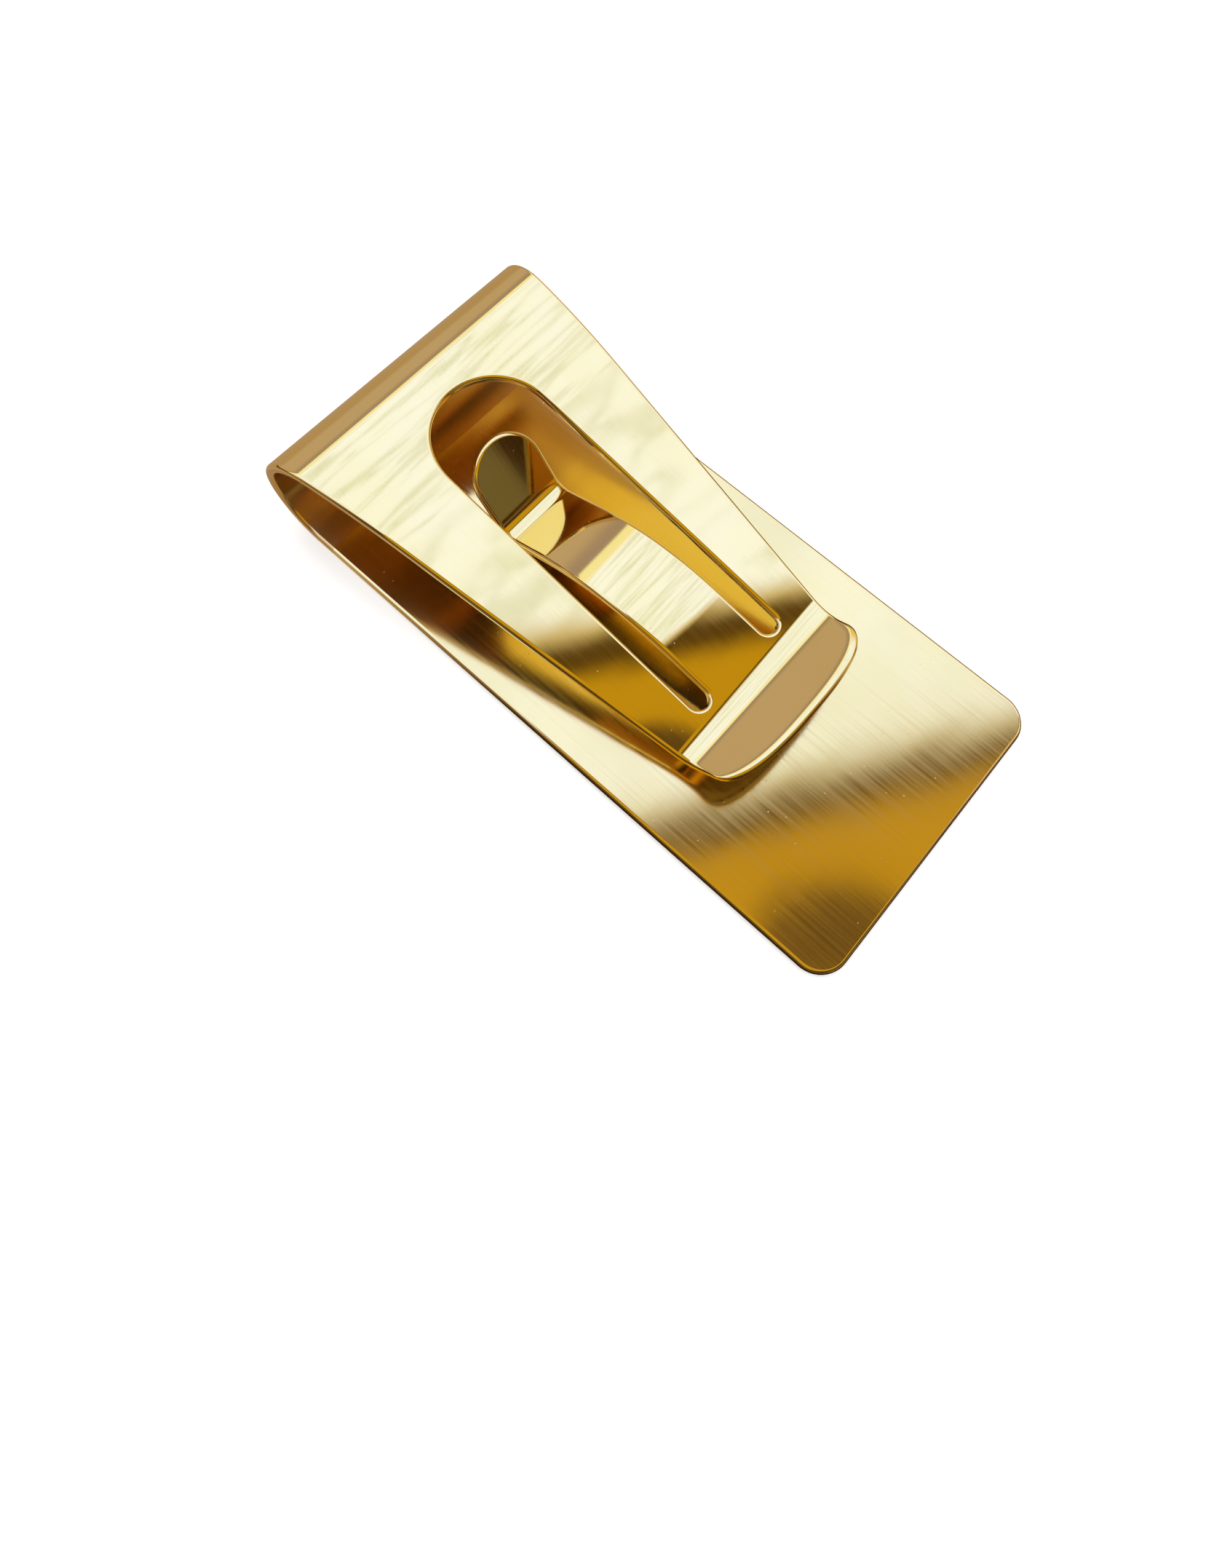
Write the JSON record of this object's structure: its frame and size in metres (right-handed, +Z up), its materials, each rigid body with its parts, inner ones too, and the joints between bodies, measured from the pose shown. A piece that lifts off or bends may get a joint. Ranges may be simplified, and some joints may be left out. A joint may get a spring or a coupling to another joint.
{
  "type": "money clip",
  "caption": "Polished gold spring money clip: a flat back plate folded over into a tapered front leaf with a round-ended window, a crested spring tongue and an upturned lip.",
  "frame": {"origin": "middle of the back plate's resting face, halfway between the fold and the open end", "axes": "+X from the fold to the open end, +Y across the clip, +Z up from the back plate towards the leaf"},
  "size_m": [0.0524, 0.025, 0.0087],
  "materials": {
    "gold": "mirror-polished gold plating"
  },
  "bodies": {
    "back": {"back_plate": "gold", "fold_lower": "gold"},
    "leaf": {"fold_upper": "gold", "leaf_shoulder": "gold", "rail_left": "gold", "rail_right": "gold", "pinch_bar": "gold", "lip": "gold"},
    "tongue": {"tongue_arm": "gold", "tongue_trough": "gold", "tongue_tip": "gold"}
  },
  "joints": [
    {"name": "leaf_flex", "type": "hinge", "parent": "back", "child": "leaf", "pos_m": [-0.02585, 0, 0.00435], "axis": [0, -1, 0], "range_deg": [0, 8], "stiffness_Nm_per_rad": 6},
    {"name": "tongue_flex", "type": "hinge", "parent": "leaf", "child": "tongue", "pos_m": [0.00759, 0, 0.0032], "axis": [0, 1, 0], "range_deg": [0, 8], "stiffness_Nm_per_rad": 7.5}
  ]
}
